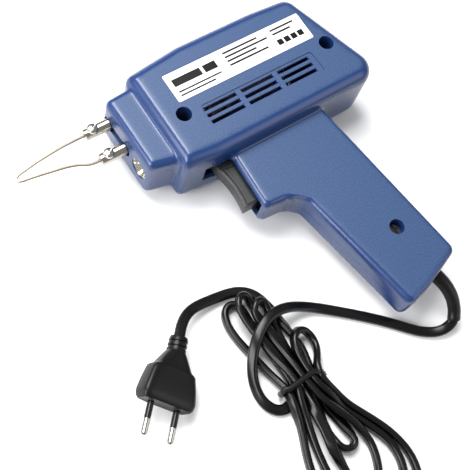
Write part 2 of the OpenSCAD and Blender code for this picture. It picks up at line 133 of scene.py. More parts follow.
def cut_with(mesh, cutters, operation="DIFFERENCE"):
    """Boolean of one mesh with several others, one after another, and the result as a new mesh."""
    work = bpy.data.objects.new("cut_work", mesh)
    scene.collection.objects.link(work)
    tools = []
    for cutter in cutters:
        tool = bpy.data.objects.new("cut_tool", cutter)
        scene.collection.objects.link(tool)
        boolean = work.modifiers.new("cut", "BOOLEAN")
        boolean.operation = operation
        boolean.solver = "EXACT"
        boolean.object = tool
        tools.append(tool)
    seen = work.evaluated_get(bpy.context.evaluated_depsgraph_get())
    result = bpy.data.meshes.new_from_object(seen)
    for obj in tools + [work]:
        bpy.data.objects.remove(obj)
    return result


print("gun drawing starts at", tuple(GUN_AT))

# %% [markdown]
# ## Finishes
# Each finish is a Principled shader with grain and colour drift from noise on Object coordinates, at the
# size the real surface shows: a fine spark-eroded grain on the blue mouldings, drawing marks on the wires,
# a satin skin on the lead. Constants sit on the shader, and only varying values are linked.

# %% A finish from noise
BROAD_NOISE = 60
GLOSS_SPREAD = 0.07


def finish(name, colour, rough=0.5, grain=900, bump=0.05, depth=0.0001, drift=0.12, metallic=0.0,
           stretch=(1, 1, 1), **extra):
    """Colour drifts by `drift`, roughness follows a broad noise, and a fine noise of `grain` makes the bump."""
    material = bpy.data.materials.new(name)
    material.use_nodes = True
    nodes, links = material.node_tree.nodes, material.node_tree.links
    shader = nodes["Principled BSDF"]
    shader.inputs["Metallic"].default_value = metallic
    for key, value in extra.items():
        shader.inputs[key.replace("_", " ")].default_value = value
    where = nodes.new("ShaderNodeTexCoord")
    turned = nodes.new("ShaderNodeMapping")
    turned.inputs["Scale"].default_value = stretch
    links.new(where.outputs["Object"], turned.inputs["Vector"])
    broad = nodes.new("ShaderNodeTexNoise")
    broad.inputs["Scale"].default_value = BROAD_NOISE
    broad.inputs["Detail"].default_value = 4
    fine = nodes.new("ShaderNodeTexNoise")
    fine.inputs["Scale"].default_value = grain
    fine.inputs["Detail"].default_value = 3
    for noise in (broad, fine):
        links.new(turned.outputs["Vector"], noise.inputs["Vector"])
    tint = nodes.new("ShaderNodeValToRGB")
    low, high = tint.color_ramp.elements
    low.position, high.position = 0.3, 0.7
    low.color = [c * (1 - drift) for c in colour] + [1]
    high.color = [min(1, c * (1 + drift)) for c in colour] + [1]
    links.new(broad.outputs["Fac"], tint.inputs["Fac"])
    links.new(tint.outputs["Color"], shader.inputs["Base Color"])
    gloss = nodes.new("ShaderNodeMapRange")
    gloss.inputs["To Min"].default_value = max(0.02, rough - GLOSS_SPREAD)
    gloss.inputs["To Max"].default_value = min(1, rough + GLOSS_SPREAD)
    links.new(broad.outputs["Fac"], gloss.inputs["Value"])
    links.new(gloss.outputs["Result"], shader.inputs["Roughness"])
    relief = nodes.new("ShaderNodeBump")
    relief.inputs["Strength"].default_value = bump
    relief.inputs["Distance"].default_value = depth
    links.new(fine.outputs["Fac"], relief.inputs["Height"])
    links.new(relief.outputs["Normal"], shader.inputs["Normal"])
    return material


print("broad noise scale:", BROAD_NOISE)

# %% [markdown]
# The blue mouldings have two surfaces: their flat sides are spark-eroded and full of fine grain,
# while the rounded rims are smooth and glossy. One material does both, by how far the surface
# faces sideways. The same mask also paints the flat sides, which face the overhead lamp, paler as painted
# light, and the rims darker as painted shade, on top of the real difference in grain and gloss.

# %% The blue moulding
def moulded_blue():
    # Its base colour is the rims' colour, kept dark as painted shade on the rims
    material = finish("blue_moulding", (0.008, 0.03, 0.115), 0.25, 2600, 0.3, 0.00012, 0.06)
    nodes, links = material.node_tree.nodes, material.node_tree.links
    shader = nodes["Principled BSDF"]
    # The rims' colour: darker, as painted shade
    rim_shaded_tint = shader.inputs["Base Color"].links[0].from_socket
    smooth_gloss = shader.inputs["Roughness"].links[0].from_socket
    facing = nodes.new("ShaderNodeNewGeometry")
    parts = nodes.new("ShaderNodeSeparateXYZ")
    links.new(facing.outputs["Normal"], parts.inputs["Vector"])
    size = nodes.new("ShaderNodeMath")
    size.operation = "ABSOLUTE"
    links.new(parts.outputs["Z"], size.inputs[0])
    # 1 on the gun's flat sides, which face the overhead lamp, 0 on the rims
    flat = nodes.new("ShaderNodeMapRange")
    flat.inputs["From Min"].default_value = 0.955
    flat.inputs["From Max"].default_value = 0.99
    links.new(size.outputs["Value"], flat.inputs["Value"])
    speckle = nodes.new("ShaderNodeTexNoise")
    speckle.inputs["Scale"].default_value = 1500
    speckle.inputs["Detail"].default_value = 2
    where = nodes.new("ShaderNodeTexCoord")
    links.new(where.outputs["Object"], speckle.inputs["Vector"])
    # Flat sides: a random speckle of grain, painted paler overall as painted light
    grained = nodes.new("ShaderNodeValToRGB")
    low, high = grained.color_ramp.elements
    low.position, high.position = 0.36, 0.66
    low.color, high.color = (0.009, 0.032, 0.1, 1), (0.034, 0.074, 0.168, 1)
    links.new(speckle.outputs["Fac"], grained.inputs["Fac"])
    # Colour split by the mask: painted shade on the rims, painted light on the flat sides
    tint = nodes.new("ShaderNodeMix")
    tint.data_type = "RGBA"
    links.new(flat.outputs["Result"], tint.inputs["Factor"])
    links.new(rim_shaded_tint, tint.inputs[6])
    links.new(grained.outputs["Color"], tint.inputs[7])
    links.new(tint.outputs[2], shader.inputs["Base Color"])
    gloss = nodes.new("ShaderNodeMix")
    links.new(flat.outputs["Result"], gloss.inputs["Factor"])
    links.new(smooth_gloss, gloss.inputs[2])
    gloss.inputs[3].default_value = 0.5
    links.new(gloss.outputs[0], shader.inputs["Roughness"])
    relief = shader.inputs["Normal"].links[0].from_node
    depth = nodes.new("ShaderNodeMapRange")
    depth.inputs["To Min"].default_value = 0.04
    depth.inputs["To Max"].default_value = 0.45
    links.new(flat.outputs["Result"], depth.inputs["Value"])
    links.new(depth.outputs["Result"], relief.inputs["Strength"])
    return material


print("blue moulding: flat sides grained, rims glossy")

# %% All the finishes, by the frame's slots
FINISH = {
    "housing_blue": moulded_blue(),
    "label_white": finish("label_film", (0.78, 0.79, 0.8), 0.35, 700, 0.03, 0.0001, 0.03),
    "screw_steel": finish("blackened_screw", (0.06, 0.06, 0.065), 0.38, 1500, 0.1, 0.0001, 0.2, 0.9),
    "trigger_grey": finish("trigger_grey", (0.016, 0.017, 0.018), 0.45, 2400, 0.4, 0.0002, 0.1),
    "moulded_black": finish("black_moulding", (0.0025, 0.0025, 0.0028), 0.36, 1800, 0.15, 0.0001, 0.1,
                            Specular_IOR_Level=0.25),
    "moulded_pale": finish("pale_moulding", (0.62, 0.58, 0.48), 0.5, 1400, 0.1, 0.0001, 0.05),
    "contact_brass": finish("brass", (0.72, 0.47, 0.17), 0.28, 1200, 0.08, 0.0001, 0.1, 1.0),
    "core_steel": finish("core_laminations", (0.22, 0.22, 0.24), 0.42, 900, 0.5, 0.0002, 0.2, 0.8,
                         (0.02, 0.02, 1)),
    "coil_tape": finish("coil_tape", (0.62, 0.33, 0.07), 0.32, 500, 0.1, 0.0002, 0.12),
    "tinned_copper": finish("nickel_tube", (0.42, 0.4, 0.36), 0.14, 900, 0.02, 0.0001, 0.06, 1.0, (0.1, 1, 1)),
    "plated_steel": finish("plated_steel", (0.42, 0.41, 0.38), 0.18, 900, 0.02, 0.0001, 0.08, 1.0),
    "tip_wire": finish("tip_wire", (0.3, 0.26, 0.21), 0.3, 1400, 0.15, 0.0001, 0.25, 1.0, (0.1, 1, 1)),
    "reflector_bright": finish("reflector", (0.86, 0.8, 0.66), 0.1, 900, 0.03, 0.0001, 0.05, 1.0),
    "lamp_clear": finish("lamp_glass", (0.95, 0.95, 0.93), 0.06, 800, 0.01, 0.0001, 0.02,
                         Transmission_Weight=0.85, IOR=1.45),
    "wire_red": finish("red_sleeve", (0.5, 0.03, 0.025), 0.4, 1500, 0.1, 0.0001, 0.1),
    "wire_brown": finish("brown_sleeve", (0.12, 0.05, 0.025), 0.4, 1500, 0.1, 0.0001, 0.1),
    "wire_blue": finish("blue_sleeve", (0.03, 0.12, 0.45), 0.4, 1500, 0.1, 0.0001, 0.1),
    "cord_black": finish("lead_sheath", (0.002, 0.002, 0.0022), 0.26, 2600, 0.1, 0.0001, 0.15,
                         Specular_IOR_Level=0.3),
}
print("finishes:", len(FINISH))

# %% [markdown]
# ## The measured pieces that stay
# The transformer, switch, wires and small fittings are already the right shape in the frame. They only need
# their finishes, so each node's slots are filled by the name of the slot it carries.

# %% Finishes on the measured pieces
for name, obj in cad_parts.items():
    for holder in obj.material_slots:
        old = holder.material.name.split(".")[0] if holder.material else ""
        if old in FINISH:
            holder.material = FINISH[old]
        else:
            print("no finish for", name, old)
print("nodes with a finish:", len(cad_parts))

# %% [markdown]
# ## The mains lead
# A flat two-core lead, 6.6 by 4.2 mm, leaves the grip through its strain relief, loops over the bundle,
# is folded into a hank held by one tie, and ends in its plug. How often the real lead is folded is hidden
# inside the bundle, so nine passes are assumed here. Stock like this could be a Bezier curve, but the lead
# also twists from flat to on edge where it is folded, so every point carries a roll: 0 is flat on the
# floor and 90 on edge. The passes are named, and follow one another as one length.

# %% The route, in millimetres, with its roll
CORD_WIDE, CORD_THICK = 6.6, 4.2
IN_BOOT = [(71.6, -96, 23.8, 0), (73.8, -104, 22, 0), (75, -111.5, 18, 0), (74.4, -118, 13.2, 0)]
TO_BUNDLE = [(71.5, -123.5, 9.5, 0), (66, -125, 5.5, 0), (59, -123, 2.8, 0), (50, -116, 2.2, 0),
             (40, -105, 2.2, 0), (29, -94, 2.2, 0), (17, -83, 2.2, 0), (5, -73, 2.6, 0),
             (-5, -67.2, 6.5, 0), (-14, -64, 11.5, 0), (-22, -63, 14.4, 0), (-30, -63.8, 15.2, 5),
             (-38, -67.5, 14.9, 10), (-46, -74, 12.2, 25), (-52, -82, 7, 40), (-55.5, -90, 3.6, 50),
             (-57, -98, 3, 50), (-56, -105, 3, 40), (-53, -110, 2.6, 25)]
UP_LEFT = [(-49, -112.3, 2.3, 10), (-44.6, -112.4, 2.1, 0), (-40.4, -110, 2.2, 15),
           (-37.6, -105.6, 2.9, 50), (-36.5, -100, 3.3, 85), (-36.4, -90, 3.3, 90), (-36.7, -80, 3.3, 90),
           (-36.9, -68, 3.3, 90), (-36.4, -56, 3.3, 90), (-36, -50, 3.3, 90)]
LEFT_LOOP = [(-37.4, -45.4, 3.3, 90), (-41.3, -43.2, 3.3, 90), (-45.8, -45, 3.3, 90),
             (-48.4, -50, 3.3, 90), (-49.4, -57, 3.3, 90), (-48.8, -66, 3.3, 90), (-47, -76, 3.3, 90),
             (-45, -87, 3.3, 90), (-43.2, -96, 4, 90)]
OUTER_FOLD = [(-42, -104, 6.4, 80), (-42.3, -110, 7.2, 50), (-43.2, -116, 5.4, 55), (-45.3, -123, 3.4, 80),
              (-49, -131, 3.3, 90), (-52.6, -139, 3.3, 90), (-55.8, -148, 3.3, 90), (-57.4, -158, 3.3, 90),
              (-57, -169, 3.3, 90), (-53.5, -180, 3.3, 90), (-46.5, -189.5, 3.3, 90),
              (-36.5, -196, 3.3, 90), (-25, -197.5, 3.3, 90), (-13.5, -194, 3.3, 90),
              (-4.8, -186, 3.3, 90), (-1, -176, 3.3, 90), (-0.8, -165.5, 3.3, 90), (-3.6, -153.5, 3.3, 90),
              (-8.6, -142, 3.3, 90), (-14.6, -130, 3.6, 90), (-19.4, -119, 6.2, 90), (-21.4, -110, 9, 90)]
SIDE_LOOP = [(-20.8, -104, 9.9, 90), (-18.8, -100, 8.6, 85), (-14.5, -96.5, 6, 80), (-11, -91.5, 4.2, 85),
             (-10, -86, 3.8, 90), (-11.5, -81, 4.8, 85), (-15.5, -78.2, 8, 70), (-19.8, -78.6, 10, 70),
             (-23, -82.5, 10.4, 80), (-25, -89, 10.2, 90), (-25.7, -97, 10, 90)]
MIDDLE_FOLD = [(-25.7, -104, 9.9, 90), (-25.4, -111, 9.2, 90), (-24, -119.5, 7.2, 90),
               (-21, -127, 4.4, 90), (-16.8, -135.5, 3.4, 90), (-11.4, -146.5, 3.3, 90),
               (-7.2, -157.3, 3.3, 90), (-6.6, -167, 3.3, 90), (-8.6, -175.5, 3.3, 90),
               (-14, -183, 3.3, 90), (-22.5, -187.6, 3.3, 90), (-32, -187.6, 3.3, 90),
               (-40.5, -182.8, 3.3, 90), (-46, -175, 3.3, 90), (-48.6, -165, 3.3, 90),
               (-48.4, -153.5, 3.3, 90), (-46.4, -142, 3.3, 90), (-43.6, -131, 3.4, 90),
               (-41.4, -121.5, 5.4, 80), (-38.6, -112, 8.8, 75)]
SECOND_LOOP = [(-36, -104, 9.9, 85), (-35.8, -96, 9.6, 60), (-36.5, -86, 9, 20), (-37.8, -75, 8.7, 10),
               (-38.8, -63, 8.7, 15), (-39.4, -53, 9, 50), (-38.8, -47.2, 9.4, 80),
               (-35.6, -43.4, 9.6, 90), (-31.6, -43.4, 9, 90), (-29.2, -46.8, 7.4, 90),
               (-29.6, -52, 4.8, 90), (-31.2, -60, 3.3, 90), (-31.8, -72, 3.3, 90), (-32, -84, 3.3, 90),
               (-31.8, -95, 3.3, 90)]
INNER_FOLD = [(-31.6, -104, 3.3, 90), (-33, -111, 4.8, 90), (-34.8, -118, 7.8, 60), (-35.8, -126, 8.7, 25),
              (-37, -136, 8.4, 20), (-38.2, -146, 7, 40), (-39, -156, 4, 80), (-38.8, -165, 3.3, 90),
              (-36, -172.5, 3.3, 90), (-30.5, -175.5, 3.3, 90), (-24.8, -172.8, 3.3, 90),
              (-20.4, -166, 3.3, 90), (-17.4, -158, 3.3, 90), (-16.8, -150.5, 3.6, 90),
              (-18.6, -143, 5.2, 80), (-21.4, -134, 7.6, 50), (-24.6, -122, 9, 50), (-28.4, -112, 9.6, 80)]
THIRD_LOOP = [(-30.8, -104, 9.9, 90), (-31, -96, 9.8, 80), (-31, -86, 9.2, 30), (-31.2, -75, 8.7, 10),
              (-32, -64, 8.7, 15), (-32.6, -56.5, 8.8, 60), (-31.2, -51.8, 9, 90), (-27.8, -49.8, 8.8, 90),
              (-24.4, -51.8, 8, 90), (-23.4, -57, 6.8, 90), (-24.4, -64, 4.8, 90), (-26, -74, 3.3, 90),
              (-27, -85, 3.3, 90), (-26.9, -95, 3.3, 90)]
SMALL_FOLD = [(-26.7, -104, 3.3, 90), (-28.6, -112, 3.3, 90), (-31.4, -120, 3.1, 60),
              (-33.6, -128, 2.4, 20), (-35.2, -136, 2.3, 15), (-35.6, -142, 2.6, 40),
              (-33.8, -147.6, 3.3, 90), (-29, -151, 3.3, 90), (-24, -149.4, 3.3, 90),
              (-22.4, -143, 2.8, 50), (-24, -133, 2.2, 10), (-25.4, -122, 2.4, 20), (-24.4, -112, 3.2, 70)]
TO_PLUG = [(-21.8, -104, 3.3, 90), (-20, -95, 3.3, 90), (-18.4, -85, 3.3, 80), (-18.6, -76, 3, 60),
           (-20.6, -67, 2.6, 35), (-21.6, -58, 2.4, 20), (-22.6, -50, 2.2, 10), (-26, -43.6, 2.2, 5),
           (-31.4, -39.2, 2.4, 0), (-38, -37, 2.8, 0), (-46, -35.8, 3.8, 0), (-54, -35, 5.4, 0),
           (-62, -35, 7.6, 0), (-69, -37, 10.4, 0), (-75, -41, 13.2, 0), (-79, -45, 14.7, 0),
           (-80.9, -46.9, 15, 0)]
ROUTE = (IN_BOOT + TO_BUNDLE + UP_LEFT + LEFT_LOOP + OUTER_FOLD + SIDE_LOOP + MIDDLE_FOLD + SECOND_LOOP
         + INNER_FOLD + THIRD_LOOP + SMALL_FOLD + TO_PLUG)
print("route points:", len(ROUTE))

# %% [markdown]
# Straight lines between the points would show corners, so a Catmull-Rom curve is drawn through them and then
# walked in even steps. Where two runs would sit inside each other they are pushed apart a little at a time,
# as fingers would press a bundle, and nothing may go below the floor.

# %% One even, settled centreline
def through(points, per_span=10):
    p = np.array(points, float)
    p = np.vstack([2 * p[0] - p[1], p, 2 * p[-1] - p[-2]])
    t = np.linspace(0, 1, per_span, endpoint=False)[:, None]
    spans = [0.5 * (2 * b + (c - a) * t + (2 * a - 5 * b + 4 * c - d) * t ** 2
                    + (3 * b - a - 3 * c + d) * t ** 3)
             for a, b, c, d in zip(p, p[1:], p[2:], p[3:])]
    return np.vstack(spans + [p[-2:-1]])


def even(points, step):
    lengths = np.r_[0, np.cumsum(np.linalg.norm(np.diff(points[:, :3], axis=0), axis=1))]
    places = np.linspace(0, lengths[-1], int(round(lengths[-1] / step)) + 1)
    return np.stack([np.interp(places, lengths, points[:, k]) for k in range(points.shape[1])], axis=1)


def wide_way(line):
    """The direction of the flat lead's width at each point."""
    along = np.gradient(line[:, :3], axis=0)
    along /= np.linalg.norm(along, axis=1)[:, None]
    level = np.cross(along, (0, 0, 1))
    level /= np.linalg.norm(level, axis=1)[:, None]
    roll = np.radians(line[:, 3])[:, None]
    return np.cos(roll) * level + np.sin(roll) * np.cross(level, along)


LIFT = CORD_THICK / 2 + 0.3
LINE_STEP = 1.6
FAR_AWAY = 99
PUSH_SHARE = 0.12


def settle(line, rounds=60):
    """Treats the lead as its two round cores and presses apart any that share space."""
    core, apart = (CORD_WIDE - CORD_THICK) / 2, CORD_THICK
    count = len(line)
    near = np.abs(np.arange(count)[:, None] - np.arange(count)[None, :]) < 10
    free = np.clip(np.minimum(np.arange(count) - 14, count - 8 - np.arange(count)) / 10, 0, 1)[:, None]
    for _ in range(rounds):
        side = wide_way(line) * core
        move = np.zeros((count, 3))
        cores = [line[:, :3] + side, line[:, :3] - side]
        for a in cores:
            for b in cores:
                gap = a[:, None, :] - b[None, :, :]
                far = np.linalg.norm(gap, axis=2) + near * FAR_AWAY
                press = np.clip(apart - far, 0, None) / np.maximum(far, 0.2)
                push = gap * press[:, :, None]
                move += push.max(axis=1) * PUSH_SHARE + push.min(axis=1) * PUSH_SHARE
        for _ in range(10):
            move[1:-1] = (move[:-2] + 2 * move[1:-1] + move[2:]) / 4
        line[:, :3] += move * free
        lowest = LIFT + core * np.abs(wide_way(line)[:, 2])
        line[:, 2] = np.maximum(line[:, 2], lowest)
        line[1:-1, 2] = (line[:-2, 2] + 6 * line[1:-1, 2] + line[2:, 2]) / 8
    for _ in range(5):
        line[1:-1, :3] = (line[:-2, :3] + 2 * line[1:-1, :3] + line[2:, :3]) / 4
    line[:, 2] = np.maximum(line[:, 2], LIFT + core * np.abs(wide_way(line)[:, 2]))
    return line


centreline = settle(even(through(ROUTE), LINE_STEP))
cord_length = np.linalg.norm(np.diff(centreline[:, :3], axis=0), axis=1).sum()
print("lead length:", round(cord_length), "mm, lowest centre:", round(centreline[:, 2].min(), 2), "mm")

# %% [markdown]
# The sheath's section is two round cores run together with a shallow groove between them. A curve with that
# section as its bevel object sweeps it along the route with a tilt at each point, and its mesh is kept.

# %% Sweeping a section along a line
def sweep(name, line, section, tilt=None, thick=None, z_up=True):
    """line in millimetres; section is a closed outline, or a radius in millimetres for a round rod."""
    data = bpy.data.curves.new(name, "CURVE")
    data.dimensions = "3D"
    data.twist_mode = "Z_UP" if z_up else "MINIMUM"
    data.use_fill_caps = True
    spline = data.splines.new("POLY")
    spline.points.add(len(line) - 1)
    for i, point in enumerate(spline.points):
        point.co = (*(c * MM for c in line[i][:3]), 1)
        point.tilt = 0 if tilt is None else tilt[i]
        point.radius = 1 if thick is None else thick[i]
    shape = None
    if isinstance(section, (int, float)):
        data.bevel_depth = section * MM
        data.bevel_resolution = 6
    else:
        outline = bpy.data.curves.new(name + "_section", "CURVE")
        outline.dimensions = "2D"
        ring = outline.splines.new("POLY")
        ring.points.add(len(section) - 1)
        for point, (x, y) in zip(ring.points, section):
            point.co = (x * MM, y * MM, 0, 1)
        ring.use_cyclic_u = True
        shape = bpy.data.objects.new(name + "_section", outline)
        scene.collection.objects.link(shape)
        data.bevel_mode = "OBJECT"
        data.bevel_object = shape
    holder = bpy.data.objects.new(name + "_curve", data)
    scene.collection.objects.link(holder)
    mesh = bpy.data.meshes.new_from_object(holder.evaluated_get(bpy.context.evaluated_depsgraph_get()))
    bpy.data.objects.remove(holder)
    if shape:
        bpy.data.objects.remove(shape)
    bm = bmesh.new()
    bm.from_mesh(mesh)
    bmesh.ops.remove_doubles(bm, verts=bm.verts[:], dist=1e-6)
    bmesh.ops.recalc_face_normals(bm, faces=bm.faces[:])
    bm.to_mesh(mesh)
    bm.free()
    return smooth_by_angle(mesh, 50)


core_gap = (CORD_WIDE - CORD_THICK) / 2
half_sheath = arc(core_gap, 0, CORD_THICK / 2, -80, 80, 8)
sheath = half_sheath + [(0, 1.8)] + [(-x, y) for x, y in reversed(half_sheath)] + [(0, -1.8)]
cord = piece("mains_cord", sweep("mains_cord", centreline, sheath, np.radians(centreline[:, 3])), "housing",
             "cord_black", FINISH["cord_black"], "cord_lead", "cord_hank", "cord_plug_lead")
xs = np.array([v.co[:] for v in cord.data.vertices])
print("cord box:", xs.min(0).round(4), xs.max(0).round(4))

# %% [markdown]
# ## Strain relief, tie and plug
# The strain relief is a tapered rubber sleeve that bends with the lead. It is swept as a round rod whose
# radius falls along it, with a collar where it enters the grip.

# %% Strain relief
BOOT_LINE = [(67.6, -81, 24), (69.4, -88, 24), (71.6, -96, 23.8), (73.8, -104, 22), (75, -111.5, 18),
             (74.4, -118, 13.2), (71.5, -123.5, 9.5)]
boot_line = even(through([(*p, 0) for p in BOOT_LINE]), 1)
taper = np.interp(np.linspace(0, 1, len(boot_line)), [0, 0.3, 0.94, 0.97, 1], [1, 1, 0.86, 0.9, 0.84])
boot = piece("strain_relief", sweep("strain_relief", boot_line, 4.55, None, taper), "housing", "moulded_black",
             FINISH["moulded_black"], "cord_boot")

# %% Twisted tie round the bundle
tie_band = (arc(8.6, 3.4, 3.6, -90, 0) + arc(8.6, 9.6, 3.6, 0, 90) + arc(-8.6, 9.6, 3.6, 90, 180)
            + arc(-8.6, 3.4, 3.6, 180, 270))
tie_line = [(-34 + x * 1.02, -104 + 0.4 * sin(x), y + 0.9) for x, y in tie_band + tie_band[:1]]
tie_mesh = sweep("tie", tie_line, arc(0, 0, 1, 0, 330, 11), None, None, False)
for v in tie_mesh.vertices:
    v.co.y = -0.104 + (v.co.y + 0.104) * 1.7
bm = bmesh.new()
bm.from_mesh(tie_mesh)
for phase in (0, pi):
    steps = [i / 24 for i in range(25)]
    turns = [(-20.4 + 3.6 * t, -104.4 - 3.8 * t, 12.4 - 6 * t, 9 * t + phase) for t in steps]
    tail = [(x + 0.7 * cos(a), y + 0.4 * sin(a), z + 0.7 * sin(a)) for x, y, z, a in turns]
    bm.from_mesh(sweep("tie_tail", tail, 0.6))
bm.to_mesh(tie_mesh)
bm.free()
smooth_by_angle(tie_mesh, 50)
tie = piece("cord_twist_tie", tie_mesh, "housing", "moulded_black", FINISH["moulded_black"], "cord_tie")

# %% [markdown]
# The plug is moulded in one with its ribbed neck. Rounded sections are bridged along its length, which
# gives the waisted shape that boxes could not, and the ribs are narrow steps in the neck's radius.

# %% Plug
PLUG_AT = (Matrix.Translation((-109, -75, 15)) @ Matrix.Rotation(radians(225), 4, "Z")
           @ Matrix.Rotation(radians(-30), 4, "X"))
PLUG_SECTIONS = [(-0.4, 14.6, 4.6, 6), (0, 15.8, 5.6, 6), (-1.4, 17, 6.4, 6), (-4, 17.6, 6.8, 6),
                 (-5.4, 17.6, 6.8, 6), (-9, 17, 6.7, 6), (-13, 16.2, 6.5, 6), (-17, 15.3, 6.3, 5),
                 (-19.4, 14.7, 6.2, 5), (-20.4, 13.8, 6.2, 4.6), (-21.2, 12, 6.1, 4), (-22.6, 11, 6, 3.6),
                 (-25, 9.6, 5.9, 3.2), (-28, 7.8, 5.8, 2.6), (-30.4, 6.2, 5.7, 2.2)]
NECK_RIBS = [(-31, 5.7), (-32.6, 5.7), (-32.9, 4.6), (-33.9, 4.6), (-34.2, 5.6), (-35.6, 5.6), (-35.9, 4.5),
             (-36.9, 4.5), (-37.2, 5.5), (-38.8, 5.4), (-39.8, 5), (-40, 4.2)]


def super_ring(bm, x, half_wide, half_thick, power, count=40):
    ring = bmesh.ops.create_circle(bm, segments=count, radius=1)["verts"]
    for v in ring:
        c, s = v.co.x, v.co.y
        v.co = (x, half_wide * abs(c) ** (2 / power) * (1 if c > 0 else -1),
                half_thick * abs(s) ** (2 / power) * (1 if s > 0 else -1))
    return ring


def loft(bm, rings):
    for a, b in zip(rings, rings[1:]):
        edges = list({e for v in a + b for e in v.link_edges if (e.verts[0] in a) == (e.verts[1] in a)
                      and not e.link_faces or (e.verts[0] in a and e.verts[1] in a)
                      or (e.verts[0] in b and e.verts[1] in b)})
        bmesh.ops.bridge_loops(bm, edges=edges)
    for ring in (rings[0], rings[-1]):
        bm.faces.new(ring)
    bmesh.ops.recalc_face_normals(bm, faces=bm.faces[:])


bm = bmesh.new()
sections = PLUG_SECTIONS + [(x, r, r, 2) for x, r in NECK_RIBS]
loft(bm, [super_ring(bm, *s) for s in sections])
bmesh.ops.transform(bm, matrix=PLUG_AT, verts=bm.verts[:])
plug = piece("plug_moulding", to_mesh("plug_moulding", bm, 40), "housing", "cord_black",
             FINISH["moulded_black"], "plug_body")

# %% [markdown]
# ## Bent wire tip
# The tip is one length of tinned wire in a hairpin, held in the ends of the two tubes.

# %% Tip
TIP_LINE = [(-23.6, 7.5), (-38, 7.5), (-52, 7.3), (-67, 6), (-78, 4.3), (-83.5, 3.3), (-85.6, 2.2),
            (-86.1, 0.9), (-85.6, -0.3), (-83.5, -1.1), (-76, -2.1), (-65.6, -3.9), (-57, -5.5),
            (-51, -7.4), (-46, -9.9), (-42, -10.9), (-38, -11), (-23.6, -11)]
tip_line = even(through([(x + GUN_AT.x, y + GUN_AT.y, GUN_AT.z, 0) for x, y in TIP_LINE]), 0.7)
tip = piece("wire_tip", sweep("wire_tip", tip_line, 0.9), "solder_tip", "tip_wire", FINISH["tip_wire"],
            "solder_tip")

# %% [markdown]
# ## The two moulded halves
# The real housing is two shells that meet on a middle line, all rounded rims and soft junctions. Four
# convex forms make it: the body, the nose, the grip's head and its shaft. Each is the hull of its outline
# drawn in smaller and smaller towards the sides. The four are run together with a voxel remesh, which gives
# the soft inner corners that a moulder would put in, and the result is split, hollowed and cut.

# %% Four outlines
WALL = 2.6
BODY_HALF, NOSE_HALF, GRIP_HALF = 24, 18, 12
STEPS = 10


def body_outline(front):
    return (arc(front + 4, -43.8, 4, 180, 265, STEPS) + [(20, -50)] + arc(128, -38, 12, 270, 376, 16)
            + arc(112.5, 15, 9.5, 16, 90, STEPS) + [(95, 26), (35, 26)] + arc(front + 5, 17, 5, 95, 180, STEPS))


def nose_outline(rear):
    return (arc(-17.3, -33, 4, 180, 260, STEPS) + [(rear, -41.2 - rear * 0.23), (rear, 16.5)]
            + arc(-17.3, 11, 4, 95, 180, STEPS))


GRIP_SHAFT = ([(60, -44), (48.5, -78)] + arc(71.2, -176, 5, 190, 280, STEPS) + [(99, -175)]
              + arc(108.6, -164.5, 5, 285, 367, STEPS) + [(97.4, -44)])
GRIP_HEAD = ([(28, -42), (27.2, -80)] + arc(31.5, -84.5, 4.5, 180, 270, STEPS)
             + [(50, -92), (95, -92), (95, -42)])


def drawn_in(outline, inset):
    """Moves every side of a convex outline inwards by cutting along it."""
    bm = bmesh.new()
    bm.faces.new([bm.verts.new((x, y, 0)) for x, y in outline])
    for (ax, ay), (bx, by) in zip(outline, outline[1:] + outline[:1]):
        out = Vector((by - ay, ax - bx, 0)).normalized()
        bmesh.ops.bisect_plane(bm, geom=bm.verts[:] + bm.edges[:] + bm.faces[:], dist=1e-5,
                               plane_co=Vector((ax, ay, 0)) - out * inset, plane_no=out, clear_outer=True)
    points = [(v.co.x, v.co.y) for v in bm.verts]
    bm.free()
    return points


def rounded_form(bm, outline_at, half, edge, wall=0.0, levels=7):
    """A hull of one outline, full at the middle and drawn in over the last `edge` millimetres of thickness."""
    turn = max(edge - wall, 1.2)
    verts = []
    for level in range(-1, levels + 1):
        angle = max(level, 0) / levels * pi / 2
        inset = turn * (1 - cos(angle))
        z = 0 if level < 0 else half - wall - turn + turn * sin(angle)
        for x, y in drawn_in(outline_at(inset), inset + wall):
            verts += [bm.verts.new((x, y, side * z)) for side in ((-1, 1) if z else (1,))]
    hull = bmesh.ops.convex_hull(bm, input=verts)
    unused = {v for v in hull["geom_interior"] + hull["geom_unused"] if isinstance(v, bmesh.types.BMVert)}
    bmesh.ops.delete(bm, geom=list(unused), context="VERTS")


def finger_corner(bm, wall=0.0):
    """Fills the corner under the trigger, between the grip's head and shaft, with a hollow curve."""
    for level in range(6):
        angle = level / 5 * pi / 2
        inset = 4 * (1 - cos(angle)) + wall
        reach = GRIP_HALF - 4 + 4 * sin(angle) - wall
        slab(bm, arc(43.5, -100, 9 + inset, 0, 90, 8) + [(43.5, -88), (56, -88), (56, -100)], -reach, reach)


